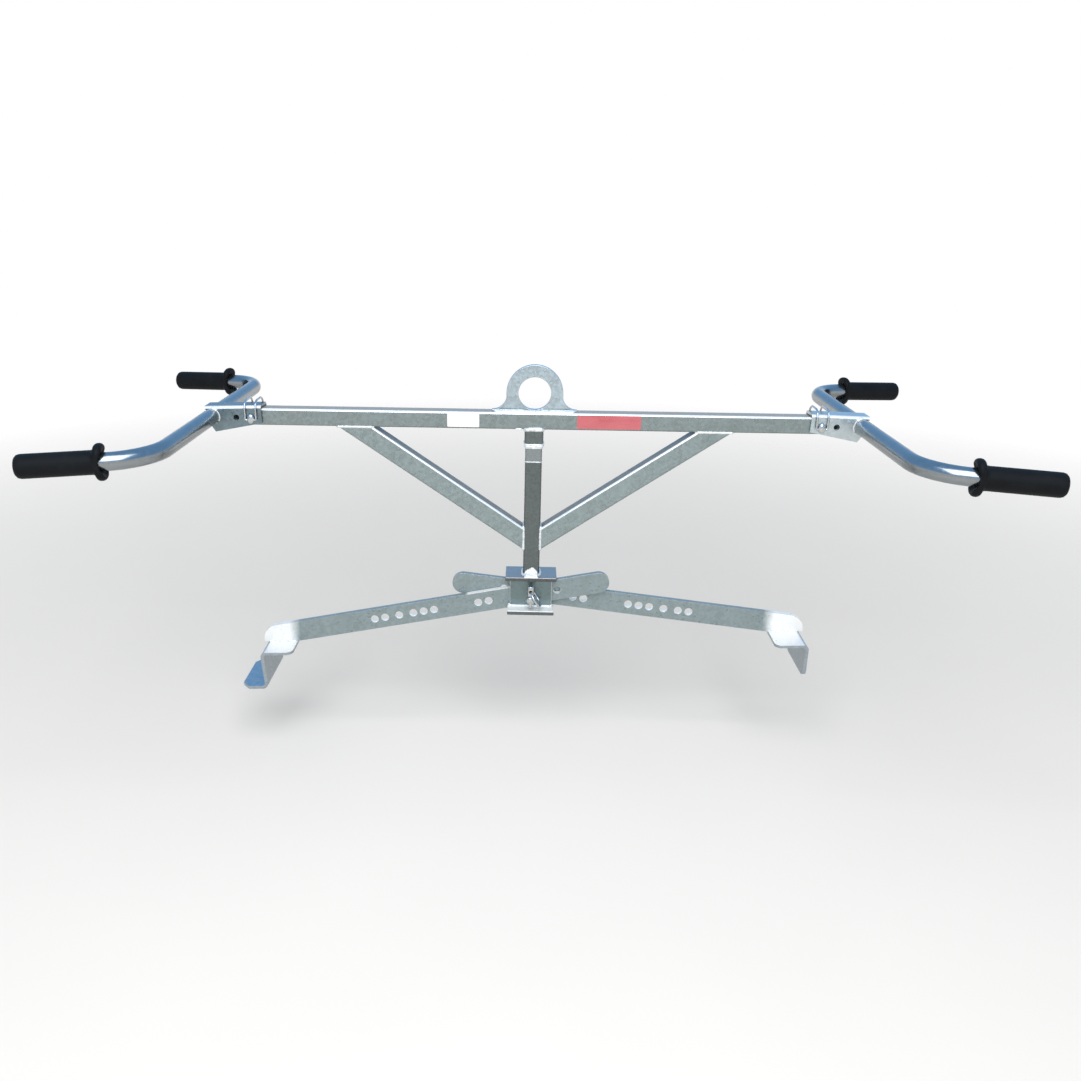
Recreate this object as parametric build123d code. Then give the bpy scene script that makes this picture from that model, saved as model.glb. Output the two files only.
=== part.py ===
from build123d import *
import math
import os

# Kerb lifter. Millimetres, +Z up, +X along the beam, -Y towards the front.
# The origin is the centre of the lifting eye's hole.

# Tube of the frame
tube_side = 30.0
tube_wall = 2.5
tube_round = 4.0
tube_bore_round = 0.5

# Lifting eye
eye_bore = 57.0
eye_rim = 21.0
eye_plate = 10.0
eye_lift = 31.5
eye_flare = 24.0
eye_toe = 3.0
eye_toe_run = 1.0

# Beam, post and braces
beam_length = 1080.0
post_length = 275.0
socket_length = 27.0
socket_wall = 1.5
socket_fit = 0.2
brace_height = 35.0
brace_reach = 314.5
brace_drop = 204.0

# Pivot head
head_length = 94.0
head_depth = 57.0
head_plate_thick = 7.0
cheek_length = 78.0
cheek_height = 54.0
cheek_plate = 6.0
foot_length = 86.0
foot_reach = 24.0
foot_plate = 8.0
pivot_drop = 32.7

# Tong arms, each a flat bar; the slopes are below the horizontal
arm_height = 40.0
arm_plate = 10.0
arm_play = 0.8
arm_tail = 148.0
arm_tail_hole = 50.0
arm_setting_holes = (80.0, 100.0, 185.0, 205.0, 225.0, 252.5, 280.0, 300.0)
arm_end_round = 30.0
arm_overrun = 3.0
left_slope = 11.2
right_slope = 6.6

# Jaws, bent from plate; jaw_set is the arm's slope at which the jaw is level.
# The left one ends in a lip, the right one is plain.
jaw_plate = 6.0
jaw_width = 115.0
jaw_gauge = 504.0
jaw_shelf = 55.0
jaw_drop = 70.5
jaw_plain_drop = 62.0
jaw_lip = 46.0
jaw_lean = 2.0
jaw_set = 8.9
jaw_bend = 5.0
jaw_corner = 13.0
lip_cut_x = 14.0
lip_cut_y = 16.0

# Pivot pin, linch pin and its ring
pivot_d = 14.0
pivot_fit = 0.1
pivot_head_d = 24.0
pivot_head = 6.0
linch_d = 6.0
linch_fit = 0.2
linch_from_cheek = 19.3
linch_to_nose = 6.5
linch_tail = 8.0
linch_head_d = 12.0
linch_head = 20.0
linch_edge = 2.0
ring_mean_r = 17.0
ring_wire = 3.5
ring_clear = 0.4

# Handle brackets, folded channels that slide over the beam
bracket_plate = 4.0
bracket_fold = 5.0
bracket_lap = 63.0
bracket_over = 11.0
bracket_short = 5.0
bracket_tip = 1.0
bracket_tip_rise = 10.0
bracket_inner_depth = 27.0
bracket_outer_depth = 41.0
slide_side = 0.6
slide_lift = 1.3
weld_gap = 0.2
handle_standoff = 25.5

# Handle tubes and grips
handle_d = 28.0
handle_wall = 2.0
handle_bend = 78.5
handle_half = 299.5
handle_splay = 10.5
handle_leg = 186.5
handle_stub = 1.0
grip_d = 36.5
grip_length = 124.0
grip_fit = 0.1
grip_end = 5.0
grip_round = 7.0
flange_d = 56.0
flange_thick = 13.0
flange_round = 6.0

# Lock pins and their wire bails
lock_d = 10.0
lock_fit = 0.15
lock_inset = 44.5
lock_pitch = 26.0
lock_tail = 3.0
lock_nose_round = 2.0
tab_width = 13.0
tab_plate = 7.0
tab_gap = 0.3
tab_drop = 4.0
bail_wire = 3.5
bail_fit = 0.1
bail_half = 9.5
bail_stub = 2.0
bail_toe = 3.0
bail_arch = 16.0
bail_rise = 6.5
bail_loop_flat = 0.5
bail_clear = 1.0

# Places that follow from the sizes
beam_half = beam_length / 2
half_side = tube_side / 2
beam_top = -eye_lift
beam_mid = beam_top - half_side
beam_under = beam_top - tube_side
post_foot = beam_under - post_length
head_under = post_foot - head_plate_thick
pivot_z = head_under - pivot_drop
foot_top = head_under - cheek_height
cheek_inner = arm_play / 2 + arm_plate + arm_play
cheek_outer = cheek_inner + cheek_plate
pivot_hole = pivot_d + 2 * pivot_fit
through = 2 * (cheek_outer + head_depth)

arm_half = arm_height / 2
jaw_slope = math.radians(jaw_set)
shelf_edge = jaw_gauge - jaw_shelf
shelf_top = -shelf_edge * math.tan(jaw_slope) - arm_half / math.cos(jaw_slope)

linch_y = -cheek_outer - linch_from_cheek
nose_y = linch_y - linch_to_nose
linch_seat = pivot_d / 2 + linch_fit
hinge_rise = linch_seat + linch_head / 2
ring_hang = math.degrees(math.acos((pivot_d / 2 + ring_wire / 2 + ring_clear) / hinge_rise))

lock_x = beam_half - lock_inset
lock_hole = lock_d + 2 * lock_fit
handle_x = beam_half + handle_standoff
bend_run = handle_bend * math.tan(math.radians(90 - handle_splay) / 2)
handle_straight = handle_half - bend_run - handle_stub
channel_inner = half_side + slide_side
channel_outer = channel_inner + bracket_plate
plate_under = beam_top + slide_lift
plate_top = plate_under + bracket_plate
lift_radius = math.hypot(lock_inset, half_side)
droop = math.asin((half_side + slide_lift) / lift_radius) - math.atan2(half_side, lock_inset)

tab_y = -channel_outer - tab_gap - tab_plate / 2
hinge_z = beam_mid - tab_drop
bail_back = tab_y + math.hypot(channel_outer - tab_y, plate_top - hinge_z) + bail_wire / 2 + bail_clear
bail_top = plate_top + bail_rise + bail_wire / 2


def tube_section(depth, height, wall, corner):
    outer = RectangleRounded(depth, height, corner)
    inner_corner = max(corner - wall, tube_bore_round)
    return outer - RectangleRounded(depth - 2 * wall, height - 2 * wall, inner_corner)


def frame_tube(length, height):
    section = tube_section(tube_side, height, tube_wall, tube_round)
    return extrude(Plane.YZ * section, amount=length / 2, both=True)


def upright_plate(outline, front, thick):
    # An outline drawn in X and Z, standing with its front face at Y = front
    return Pos(0, front + thick, 0) * extrude(Plane.XZ * outline, amount=thick)


def cross_bore(diameter, x, z):
    return Pos(x, 0, z) * Rot(90, 0, 0) * Cylinder(diameter / 2, through)


def make_cross_beam():
    beam = Pos(0, 0, beam_mid) * frame_tube(beam_length, tube_side)
    for side in (-1, 1):
        for x in (lock_x, lock_x + lock_pitch):
            beam -= cross_bore(lock_hole, side * x, beam_mid)
    return beam


def make_lifting_eye():
    # Round head whose flanks flare out to thin toes on the beam
    outer = eye_bore / 2 + eye_rim
    toe_top = beam_top + eye_toe
    flare_z = toe_top + eye_flare
    flare_x = math.sqrt((outer + eye_flare) ** 2 - flare_z**2)
    meet = outer / (outer + eye_flare)
    toe = flare_x + eye_toe_run
    right = [(toe, beam_top), (toe, toe_top), (flare_x, toe_top), (flare_x * meet, flare_z * meet)]
    left = [(-x, z) for x, z in reversed(right)]
    outline = Polygon(*right, *left, align=None)
    for side in (-1, 1):
        outline -= Pos(side * flare_x, flare_z) * Circle(eye_flare)
    head = Circle(outer) - Pos(0, beam_top - outer) * Rectangle(4 * outer, 2 * outer)
    outline = outline + head - Circle(eye_bore / 2)
    return upright_plate(outline, -eye_plate / 2, eye_plate)


def make_centre_post():
    post = Rot(0, 90, 0) * frame_tube(post_length, tube_side)
    return Pos(0, 0, beam_under - post_length / 2) * post


def make_post_socket():
    side = tube_side + 2 * (socket_fit + socket_wall)
    corner = tube_round + socket_fit + socket_wall
    sleeve = extrude(tube_section(side, side, socket_wall, corner), amount=-socket_length)
    return Pos(0, 0, beam_under) * sleeve


def make_brace():
    # Right-hand brace, trimmed flat against the beam above and the post beside it
    run = brace_reach - half_side
    slope = math.degrees(math.atan2(brace_drop, run))
    length = math.hypot(run, brace_drop) + 4 * brace_height
    tube = Rot(0, -slope, 0) * frame_tube(length, brace_height)
    room = 2 * brace_reach
    trim = Pos(half_side + room / 2, 0, beam_under - room / 2) * Box(room, room, room)
    return trim & Pos(half_side + run / 2, 0, beam_under - brace_drop / 2) * tube


def make_head_plate():
    return Pos(0, 0, post_foot - head_plate_thick / 2) * Box(head_length, head_depth, head_plate_thick)


def make_cheek(side):
    cheek = Box(cheek_length, cheek_plate, cheek_height)
    cheek = Pos(0, side * (cheek_inner + cheek_plate / 2), head_under - cheek_height / 2) * cheek
    return cheek - cross_bore(pivot_hole, 0, pivot_z)


def make_foot(side):
    depth = cheek_plate + foot_reach
    return Pos(0, side * (cheek_inner + depth / 2), foot_top - foot_plate / 2) * Box(foot_length, depth, foot_plate)


def make_arm():
    # Right arm with the pivot at the origin, drawn along X and then sloped until its jaw is level
    far = 2 * jaw_gauge
    tail_centre = arm_half - arm_tail
    outline = Pos((far + tail_centre) / 2, 0) * Rectangle(far - tail_centre, arm_height)
    outline += Pos(tail_centre, 0) * Circle(arm_half)
    for distance in (-arm_tail_hole, 0, *arm_setting_holes):
        outline -= Pos(distance, 0) * Circle(pivot_hole / 2)
    outline = Rot(0, 0, -jaw_set) * outline
    end = jaw_gauge + jaw_plate + arm_overrun
    outline &= Pos(end - far, shelf_top + far) * Rectangle(2 * far, 2 * far)
    corner = outline.vertices().sort_by(Axis.X)[-2:].sort_by(Axis.Y)[-1]
    outline = fillet(corner, arm_end_round)
    return upright_plate(outline, arm_play / 2, arm_plate)


def make_jaw(lipped):
    # Right jaw, level, with the pivot at the origin
    half = jaw_width / 2
    shelf_mid = shelf_top - jaw_plate / 2
    leg_top = jaw_gauge + jaw_plate / 2
    drop = jaw_drop if lipped else jaw_plain_drop
    leg_foot = leg_top - drop * math.tan(math.radians(jaw_lean))
    lip_end = leg_foot + jaw_plate / 2 + jaw_lip
    points = [(shelf_edge, 0, shelf_mid), (leg_top, 0, shelf_mid), (leg_foot, 0, shelf_mid - drop)]
    if lipped:
        points.append((lip_end, 0, shelf_mid - drop))
    path = FilletPolyline(*points, radius=jaw_bend + jaw_plate / 2)
    section = Plane(origin=path @ 0, x_dir=(0, 1, 0), z_dir=path % 0) * Rectangle(jaw_width, jaw_plate)
    bent = sweep(section, path=path)
    plan = Polygon(
        (shelf_edge, -half),
        (lip_end - lip_cut_x, -half),
        (lip_end, lip_cut_y - half),
        (lip_end, half - lip_cut_y),
        (lip_end - lip_cut_x, half),
        (shelf_edge, half),
        align=None,
    )
    plan = fillet(plan.vertices().sort_by(Axis.X)[:2], jaw_corner)
    jaw = bent & Pos(0, 0, shelf_mid) * extrude(plan, amount=2 * drop, both=True)
    if lipped:
        return jaw
    end = jaw.faces().sort_by(Axis.Z)[0]
    return fillet(end.edges().sort_by(SortBy.LENGTH)[:2], jaw_corner)


def tong_place(side):
    # The left tong is the right one turned about the vertical
    if side > 0:
        return Pos(0, 0, pivot_z) * Rot(0, right_slope - jaw_set, 0)
    return Pos(0, 0, pivot_z) * Rot(0, 0, 180) * Rot(0, left_slope - jaw_set, 0)


def make_pivot_pin():
    length = cheek_outer - nose_y
    pin = Pos(0, cheek_outer - length / 2, pivot_z) * Rot(90, 0, 0) * Cylinder(pivot_d / 2, length)
    head = Rot(90, 0, 0) * Cylinder(pivot_head_d / 2, pivot_head)
    pin += Pos(0, cheek_outer + pivot_head / 2, pivot_z) * head
    return pin - Pos(0, linch_y, pivot_z) * Cylinder(linch_d / 2 + linch_fit, 2 * pivot_d)


def make_linch_pin():
    shank = linch_seat + pivot_d / 2 + linch_tail
    pin = Pos(0, 0, linch_seat - shank / 2) * Cylinder(linch_d / 2, shank)
    head = Cylinder(linch_head_d / 2, linch_head)
    head = Pos(0, 0, hinge_rise) * fillet(head.edges().filter_by(GeomType.CIRCLE), linch_edge)
    sag = ring_mean_r - math.sqrt(ring_mean_r**2 - (linch_head_d / 2) ** 2)
    ring_hole = Cylinder(ring_wire / 2 + sag + ring_clear, 2 * linch_head_d)
    head -= Pos(0, 0, hinge_rise) * Rot(90, 0, 0) * ring_hole
    return Pos(0, linch_y, pivot_z) * (pin + head)


def make_linch_ring():
    ring = Pos(ring_mean_r, 0, 0) * Torus(ring_mean_r, ring_wire / 2)
    return Pos(0, linch_y, pivot_z + hinge_rise) * Rot(0, ring_hang, 0) * ring


def hang(shape):
    # A handle set tips on its lock pin until its top plate rests on the beam's end
    return shape.rotate(Axis((lock_x, 0, beam_mid), (0, 1, 0)), math.degrees(droop))


def make_bracket():
    inner_end = beam_half - bracket_lap
    outer_end = handle_x + bracket_over
    corner = handle_x - bracket_short
    tip = handle_x + bracket_tip
    deep = plate_under - bracket_outer_depth
    shallow = plate_under - bracket_inner_depth
    height = plate_top - deep
    outer = Pos(0, (plate_top + deep) / 2) * Rectangle(2 * channel_outer, height)
    outer = fillet(outer.vertices().sort_by(Axis.Y)[-2:], bracket_fold)
    inner = Pos(0, plate_under - height) * Rectangle(2 * channel_inner, 2 * height)
    channel = Pos(inner_end, 0, 0) * extrude(Plane.YZ * (outer - inner), amount=outer_end - inner_end)
    outline = Polygon(
        (inner_end, shallow),
        (corner, deep),
        (tip, deep + bracket_tip_rise),
        (tip, plate_under),
        (outer_end, plate_under),
        (outer_end, plate_top),
        (inner_end, plate_top),
        align=None,
    )
    bracket = channel & upright_plate(outline, -2 * channel_outer, 4 * channel_outer)
    bracket -= cross_bore(handle_d + 2 * weld_gap, handle_x, handle_centre())
    for x in (lock_x, lock_x + lock_pitch):
        bracket -= cross_bore(lock_hole, x, beam_mid)
    return hang(bracket)


def handle_centre():
    return plate_under - handle_d / 2 - weld_gap


def handle_tip(side, length):
    # A point on the splayed leg at the front (-1) or rear (1), measured from the tube's corner
    splay = math.radians(handle_splay)
    return (
        handle_x + length * math.cos(splay),
        side * (handle_half + length * math.sin(splay)),
        handle_centre(),
    )


def round_tube(path):
    ring = Circle(handle_d / 2) - Circle(handle_d / 2 - handle_wall)
    return hang(sweep(Plane(origin=path @ 0, z_dir=path % 0) * ring, path=path))


def make_handle_tube():
    # The straight middle of the handle, from just short of one bend to the other
    front = (handle_x, -handle_straight, handle_centre())
    rear = (handle_x, handle_straight, handle_centre())
    return round_tube(Line(front, rear))


def make_handle_leg(side):
    # The tube goes on round its bend and along the splayed leg, up to the grip's closed end
    start = (handle_x, side * handle_straight, handle_centre())
    corner = handle_tip(side, 0)
    end = handle_tip(side, handle_leg - grip_end)
    return round_tube(FilletPolyline(start, corner, end, radius=handle_bend))


def make_grip(side):
    # Built along Z with its closed end at the origin
    grip = Pos(0, 0, -grip_length / 2) * Cylinder(grip_d / 2, grip_length)
    grip = fillet(grip.edges().filter_by(GeomType.CIRCLE).sort_by(Axis.Z)[-1], grip_round)
    flange = Cylinder(flange_d / 2, flange_thick)
    flange = fillet(flange.edges().filter_by(GeomType.CIRCLE), flange_round)
    grip += Pos(0, 0, flange_thick / 2 - grip_length) * flange
    depth = grip_length - grip_end
    grip -= Pos(0, 0, depth / 2 - grip_length) * Cylinder(handle_d / 2 + grip_fit, depth)
    along = Vector(*handle_tip(side, handle_leg)) - Vector(*handle_tip(side, 0))
    return hang(Plane(origin=handle_tip(side, handle_leg), z_dir=along) * grip)


def make_lock_pin():
    tail = channel_outer + lock_tail
    length = tail - tab_y
    shank = Cylinder(lock_d / 2, length)
    shank = fillet(shank.edges().filter_by(GeomType.CIRCLE).sort_by(Axis.Z)[-1], lock_nose_round)
    pin = Pos(lock_x, tail - length / 2, beam_mid) * Rot(-90, 0, 0) * shank
    tab = Pos(lock_x, beam_mid - tab_drop / 2) * SlotCenterToCenter(tab_drop, tab_width, rotation=90)
    pin += upright_plate(tab, tab_y - tab_plate / 2, tab_plate)
    eye = Rot(0, 90, 0) * Cylinder(bail_wire / 2 + bail_fit, 2 * tab_width)
    return pin - Pos(lock_x, tab_y, hinge_z) * eye


def make_bail():
    # Wire from the tab, up over the bracket and round the pin's tail, and back on the other side
    loop_z = beam_mid - bail_half
    half = [
        (bail_stub, tab_y, hinge_z),
        (bail_half, tab_y, hinge_z),
        (bail_half, tab_y, bail_top),
        (bail_half, bail_back, bail_top),
        (bail_half, bail_back, loop_z),
    ]
    other = [(-x, y, z) for x, y, z in reversed(half)]
    bends = [bail_toe, bail_arch, bail_arch, bail_half - bail_loop_flat]
    path = FilletPolyline(*half, *other, radius=[*bends, *reversed(bends)])
    wire = sweep(Plane(origin=path @ 0, z_dir=path % 0) * Circle(bail_wire / 2), path=path)
    return Pos(lock_x, 0, 0) * wire


def left_hand(shape):
    return mirror(shape, about=Plane.YZ)


def build_all():
    parts = {
        "cross_beam": make_cross_beam(),
        "lifting_eye": make_lifting_eye(),
        "post_socket": make_post_socket(),
        "centre_post": make_centre_post(),
        "left_brace": left_hand(make_brace()),
        "right_brace": make_brace(),
        "head_plate": make_head_plate(),
        "front_cheek": make_cheek(-1),
        "rear_cheek": make_cheek(1),
        "front_foot": make_foot(-1),
        "rear_foot": make_foot(1),
        "pivot_pin": make_pivot_pin(),
        "linch_pin": make_linch_pin(),
        "linch_ring": make_linch_ring(),
    }
    arm = make_arm()
    for name, side in (("left", -1), ("right", 1)):
        parts[f"{name}_arm"] = tong_place(side) * arm
        parts[f"{name}_jaw"] = tong_place(side) * make_jaw(side < 0)
    handle_set = {
        "bracket": make_bracket(),
        "handle_tube": make_handle_tube(),
        "front_leg": make_handle_leg(-1),
        "rear_leg": make_handle_leg(1),
        "front_grip": make_grip(-1),
        "rear_grip": make_grip(1),
        "lock_pin": make_lock_pin(),
        "bail": make_bail(),
    }
    for name, shape in handle_set.items():
        parts[f"right_{name}"] = shape
        parts[f"left_{name}"] = left_hand(shape)
    return parts


def arm_stop():
    # Slope at which an arm's top edge meets the edge of the head plate
    reach = math.hypot(head_length / 2, pivot_drop)
    return math.degrees(math.atan2(pivot_drop, head_length / 2) - math.asin(arm_half / reach))


os.makedirs("parts", exist_ok=True)
for node, solid in build_all().items():
    export_step(solid, f"parts/{node}.step")

print(f"arm slope at the head plate {arm_stop():.2f} degrees")
print(f"pivot at z {pivot_z:.2f}")
print(f"linch ring hinge at y {linch_y:.2f}, z {pivot_z + hinge_rise:.2f}, hanging at {ring_hang:.2f} degrees")
print(f"bail hinges at x {lock_x:.2f}, y {tab_y:.2f}, z {hinge_z:.2f}")
print(f"handle droop {math.degrees(droop):.2f} degrees")
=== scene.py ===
import math
import bmesh
import bpy
from mathutils import Matrix, Vector


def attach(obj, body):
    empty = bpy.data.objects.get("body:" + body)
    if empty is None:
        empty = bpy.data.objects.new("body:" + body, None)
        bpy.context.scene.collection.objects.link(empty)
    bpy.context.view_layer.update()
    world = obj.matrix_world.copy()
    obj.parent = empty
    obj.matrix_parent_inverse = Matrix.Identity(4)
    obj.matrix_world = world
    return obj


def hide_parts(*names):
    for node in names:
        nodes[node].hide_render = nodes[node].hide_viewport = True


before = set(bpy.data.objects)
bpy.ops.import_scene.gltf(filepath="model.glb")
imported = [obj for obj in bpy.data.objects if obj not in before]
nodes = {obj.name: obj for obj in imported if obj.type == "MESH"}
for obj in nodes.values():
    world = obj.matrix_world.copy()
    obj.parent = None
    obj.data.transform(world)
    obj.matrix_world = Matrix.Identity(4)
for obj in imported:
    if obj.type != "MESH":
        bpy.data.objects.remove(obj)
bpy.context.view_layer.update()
mm = 0.001
joinGap = 0.00001  # points closer than this become one
pivotZ = -376.2  # height of the pivot pin, in mm
lockX, lockZ = 495.5, -46.5  # the lock pin on the right, in mm
hands = ((-1, "left"), (1, "right"))


# Materials. All patterns sit on Object coordinates, in metres.

def newSkin(name):
    mat = bpy.data.materials.new(name)
    mat.use_nodes = True
    tree = mat.node_tree
    tree.nodes.clear()
    out = tree.nodes.new("ShaderNodeOutputMaterial")
    shader = tree.nodes.new("ShaderNodeBsdfPrincipled")
    tree.links.new(shader.outputs["BSDF"], out.inputs["Surface"])
    coord = tree.nodes.new("ShaderNodeTexCoord")
    return mat, tree, shader, coord.outputs["Object"]


def feed(tree, socket, value):
    # a plain value is set on the socket, a node's output is linked to it
    if isinstance(value, (float, tuple)):
        socket.default_value = value
    elif value is not None:
        tree.links.new(value, socket)


def stretched(tree, coord, scale):
    node = tree.nodes.new("ShaderNodeMapping")
    node.inputs["Scale"].default_value = scale
    tree.links.new(coord, node.inputs["Vector"])
    return node.outputs["Vector"]


def noise(tree, coord, scale, detail, roughness):
    node = tree.nodes.new("ShaderNodeTexNoise")
    node.inputs["Scale"].default_value = scale
    node.inputs["Detail"].default_value = detail
    node.inputs["Roughness"].default_value = roughness
    tree.links.new(coord, node.inputs["Vector"])
    return node.outputs["Fac"]


def crystals(tree, coord, scale):
    # one grey and one colour for each crystal
    node = tree.nodes.new("ShaderNodeTexVoronoi")
    node.inputs["Scale"].default_value = scale
    tree.links.new(coord, node.inputs["Vector"])
    grey = tree.nodes.new("ShaderNodeSeparateColor")
    tree.links.new(node.outputs["Color"], grey.inputs["Color"])
    return grey.outputs["Red"], node.outputs["Color"]


def worked(tree, kind, operation, a, b):
    node = tree.nodes.new(kind)
    node.operation = operation
    feed(tree, node.inputs[0], a)
    feed(tree, node.inputs[1], b)
    return node


def mathStep(tree, operation, a, b=None):
    return worked(tree, "ShaderNodeMath", operation, a, b).outputs[0]


def vectorStep(tree, operation, a, b=None):
    return worked(tree, "ShaderNodeVectorMath", operation, a, b).outputs["Vector"]


def vectorSize(tree, operation, a, b=None):
    return worked(tree, "ShaderNodeVectorMath", operation, a, b).outputs["Value"]


def leaning(tree, cell, amount):
    # each crystal's face leans its own way, by how far its colour is from mid grey
    lean = vectorStep(tree, "SUBTRACT", cell, (0.5, 0.5, 0.5))
    lean = vectorStep(tree, "MULTIPLY", lean, (amount, amount, amount))
    face = tree.nodes.new("ShaderNodeNewGeometry").outputs["Normal"]
    return vectorStep(tree, "NORMALIZE", vectorStep(tree, "ADD", face, lean))


def blendOf(tree, a, b, share):
    node = tree.nodes.new("ShaderNodeMix")
    for key, value in (("Factor", share), ("A", a), ("B", b)):
        feed(tree, node.inputs[key], value)
    return node.outputs["Result"]


def ranged(tree, value, low, high, fromLow=0.0, fromHigh=1.0):
    node = tree.nodes.new("ShaderNodeMapRange")
    node.inputs["From Min"].default_value = fromLow
    node.inputs["From Max"].default_value = fromHigh
    node.inputs["To Min"].default_value = low
    node.inputs["To Max"].default_value = high
    tree.links.new(value, node.inputs["Value"])
    return node.outputs["Result"]


def tinted(tree, value, stops):
    node = tree.nodes.new("ShaderNodeValToRGB")
    ramp = node.color_ramp
    ramp.elements[0].position, ramp.elements[0].color = stops[0][0], (*stops[0][1], 1)
    ramp.elements[1].position, ramp.elements[1].color = stops[-1][0], (*stops[-1][1], 1)
    for place, colour in stops[1:-1]:
        ramp.elements.new(place).color = (*colour, 1)
    tree.links.new(value, node.inputs["Fac"])
    return node.outputs["Color"]


def bumped(tree, shader, height, strength, distance, facing=None):
    node = tree.nodes.new("ShaderNodeBump")
    feed(tree, node.inputs["Normal"], facing)
    node.inputs["Strength"].default_value = strength
    node.inputs["Distance"].default_value = distance
    tree.links.new(height, node.inputs["Height"])
    tree.links.new(node.outputs["Normal"], shader.inputs["Normal"])


def toned(colour, by):
    return tuple(c * by for c in colour)


# the pairs called noise are its detail and roughness
zinc = dict(
    cloudNoise=(4.0, 0.6), runNoise=(3.0, 0.55), grainNoise=(2.0, 0.6), raggedNoise=(3.0, 0.6),
    runStretch=(1, 1, 0.12), runShare=0.35, toneStops=(0.25, 0.5, 0.75), patchRange=(0.2, 0.8),
    grainShare=0.6, depth=0.0003,
)


def paintedLightShare(tree, coord, area):
    # where painted light or shade lies: past a ragged line, on the walls of holes or along rounded corners
    spot = vectorStep(tree, "ABSOLUTE", coord) if area.get("folded") else coord
    shares = []
    if "axis" in area:
        wobble = noise(tree, coord, 1 / area["ragged"], *zinc["raggedNoise"])
        ragged = mathStep(tree, "MULTIPLY", wobble, area["ragged"])
        along = mathStep(tree, "ADD", vectorSize(tree, "DOT_PRODUCT", spot, area["axis"]), ragged)
        shares.append(ranged(tree, along, 0.0, 1.0, *area["brightFrom"]))
    for hole in area.get("holes", []):
        flat = vectorStep(tree, "MULTIPLY", coord, (1.0, 0.0, 1.0))
        shares.append(ranged(tree, vectorSize(tree, "DISTANCE", flat, hole), 1.0, 0.0, *area["holeEdge"]))
    for place, heading in area.get("corners", []):
        off = vectorStep(tree, "CROSS_PRODUCT", vectorStep(tree, "SUBTRACT", spot, place), heading)
        shares.append(ranged(tree, vectorSize(tree, "LENGTH", off), 1.0, 0.0, *area["cornerWidth"]))
    share = shares[0]
    for more in shares[1:]:
        share = mathStep(tree, "MAXIMUM", share, more)
    if "stretch" in area:
        # only on one stretch along X
        start, stop, soft = area["stretch"]
        place = vectorSize(tree, "DOT_PRODUCT", coord, (1.0, 0.0, 0.0))
        share = mathStep(tree, "MULTIPLY", share, ranged(tree, place, 0.0, 1.0, start, start + soft))
        share = mathStep(tree, "MULTIPLY", share, ranged(tree, place, 1.0, 0.0, stop - soft, stop))
    return share


def brightened(tree, colour, share, bright):
    # inputs 6 and 7 and output 2 are the node's colour sockets
    mix = tree.nodes.new("ShaderNodeMix")
    mix.data_type = "RGBA"
    tree.links.new(share, mix.inputs[0])
    tree.links.new(colour, mix.inputs[6])
    mix.inputs[7].default_value = (*bright, 1)
    return mix.outputs[2]


def zincSkin(name, look):
    mat, tree, shader, coord = newSkin(name)
    spangle, cell = crystals(tree, coord, 1 / look["crystal"])
    cloud = noise(tree, coord, 1 / look["cloud"], *zinc["cloudNoise"])
    runs = noise(tree, stretched(tree, coord, zinc["runStretch"]), 1 / look["runs"], *zinc["runNoise"])
    grain = noise(tree, coord, 1 / look["grain"], *zinc["grainNoise"])
    patch = blendOf(tree, spangle, cloud, look["cloudShare"])
    tone = blendOf(tree, patch, runs, zinc["runShare"])
    dark, light = toned(look["mid"], 1 - look["spread"]), toned(look["mid"], 1 + look["spread"])
    colour = tinted(tree, tone, list(zip(zinc["toneStops"], (dark, look["mid"], light))))
    metal = look["metal"]
    # painted light and shade from the look's top area, then from the look itself
    for area in (look.get("top", {}), look):
        if "bright" in area:
            share = paintedLightShare(tree, coord, area)
            colour = brightened(tree, colour, share, area["bright"])
            metal = blendOf(tree, metal, area["dull"], share)
    feed(tree, shader.inputs["Metallic"], metal)
    tree.links.new(colour, shader.inputs["Base Color"])
    tree.links.new(ranged(tree, patch, *look["rough"], *zinc["patchRange"]), shader.inputs["Roughness"])
    height = blendOf(tree, cloud, grain, zinc["grainShare"])
    bumped(tree, shader, height, look["bump"], zinc["depth"], leaning(tree, cell, look["lean"]))
    return mat


upward = (0.0, 0.0, 1.0)
# glareWhite and highlightPale are painted highlights: near-white colours laid where the metal catches bright
# light
glareWhite = (0.92, 0.94, 0.94)
highlightPale = (0.90, 0.92, 0.92)
tubeLook = dict(
    crystal=0.0045, cloud=0.050, runs=0.018, grain=0.0007, cloudShare=0.45, lean=0.05,
    mid=(0.27, 0.315, 0.31), spread=0.13, rough=(0.24, 0.38), metal=0.95, bump=0.10,
)
plateLook = dict(
    crystal=0.0042, cloud=0.040, runs=0.015, grain=0.0012, cloudShare=0.42, lean=0.042,
    mid=(0.34, 0.385, 0.39), spread=0.14, rough=(0.27, 0.42), metal=0.95, bump=0.07,
)
roundLook = dict(
    crystal=0.006, cloud=0.070, runs=0.024, grain=0.0008, cloudShare=0.6, lean=0.02,
    mid=(0.275, 0.295, 0.305), spread=0.08, rough=(0.17, 0.27), metal=0.97, bump=0.04,
)
pinLook = dict(
    crystal=0.0015, cloud=0.012, runs=0.004, grain=0.0004, cloudShare=0.6, lean=0.03,
    mid=(0.52, 0.53, 0.525), spread=0.16, rough=(0.14, 0.28), metal=0.98, bump=0.08,
)
# weld beads: near-white, partly bright zinc and partly a painted highlight
beadLook = dict(
    crystal=0.0025, cloud=0.010, runs=0.005, grain=0.0005, cloudShare=0.5, lean=0.06,
    mid=(0.80, 0.82, 0.82), spread=0.14, rough=(0.28, 0.46), metal=0.50, bump=0.22,
)
edgeLook = dict(
    crystal=0.003, cloud=0.020, runs=0.008, grain=0.0006, cloudShare=0.6, lean=0.05,
    mid=(0.53, 0.55, 0.555), spread=0.15, rough=(0.20, 0.34), metal=0.95, bump=0.10,
)
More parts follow.
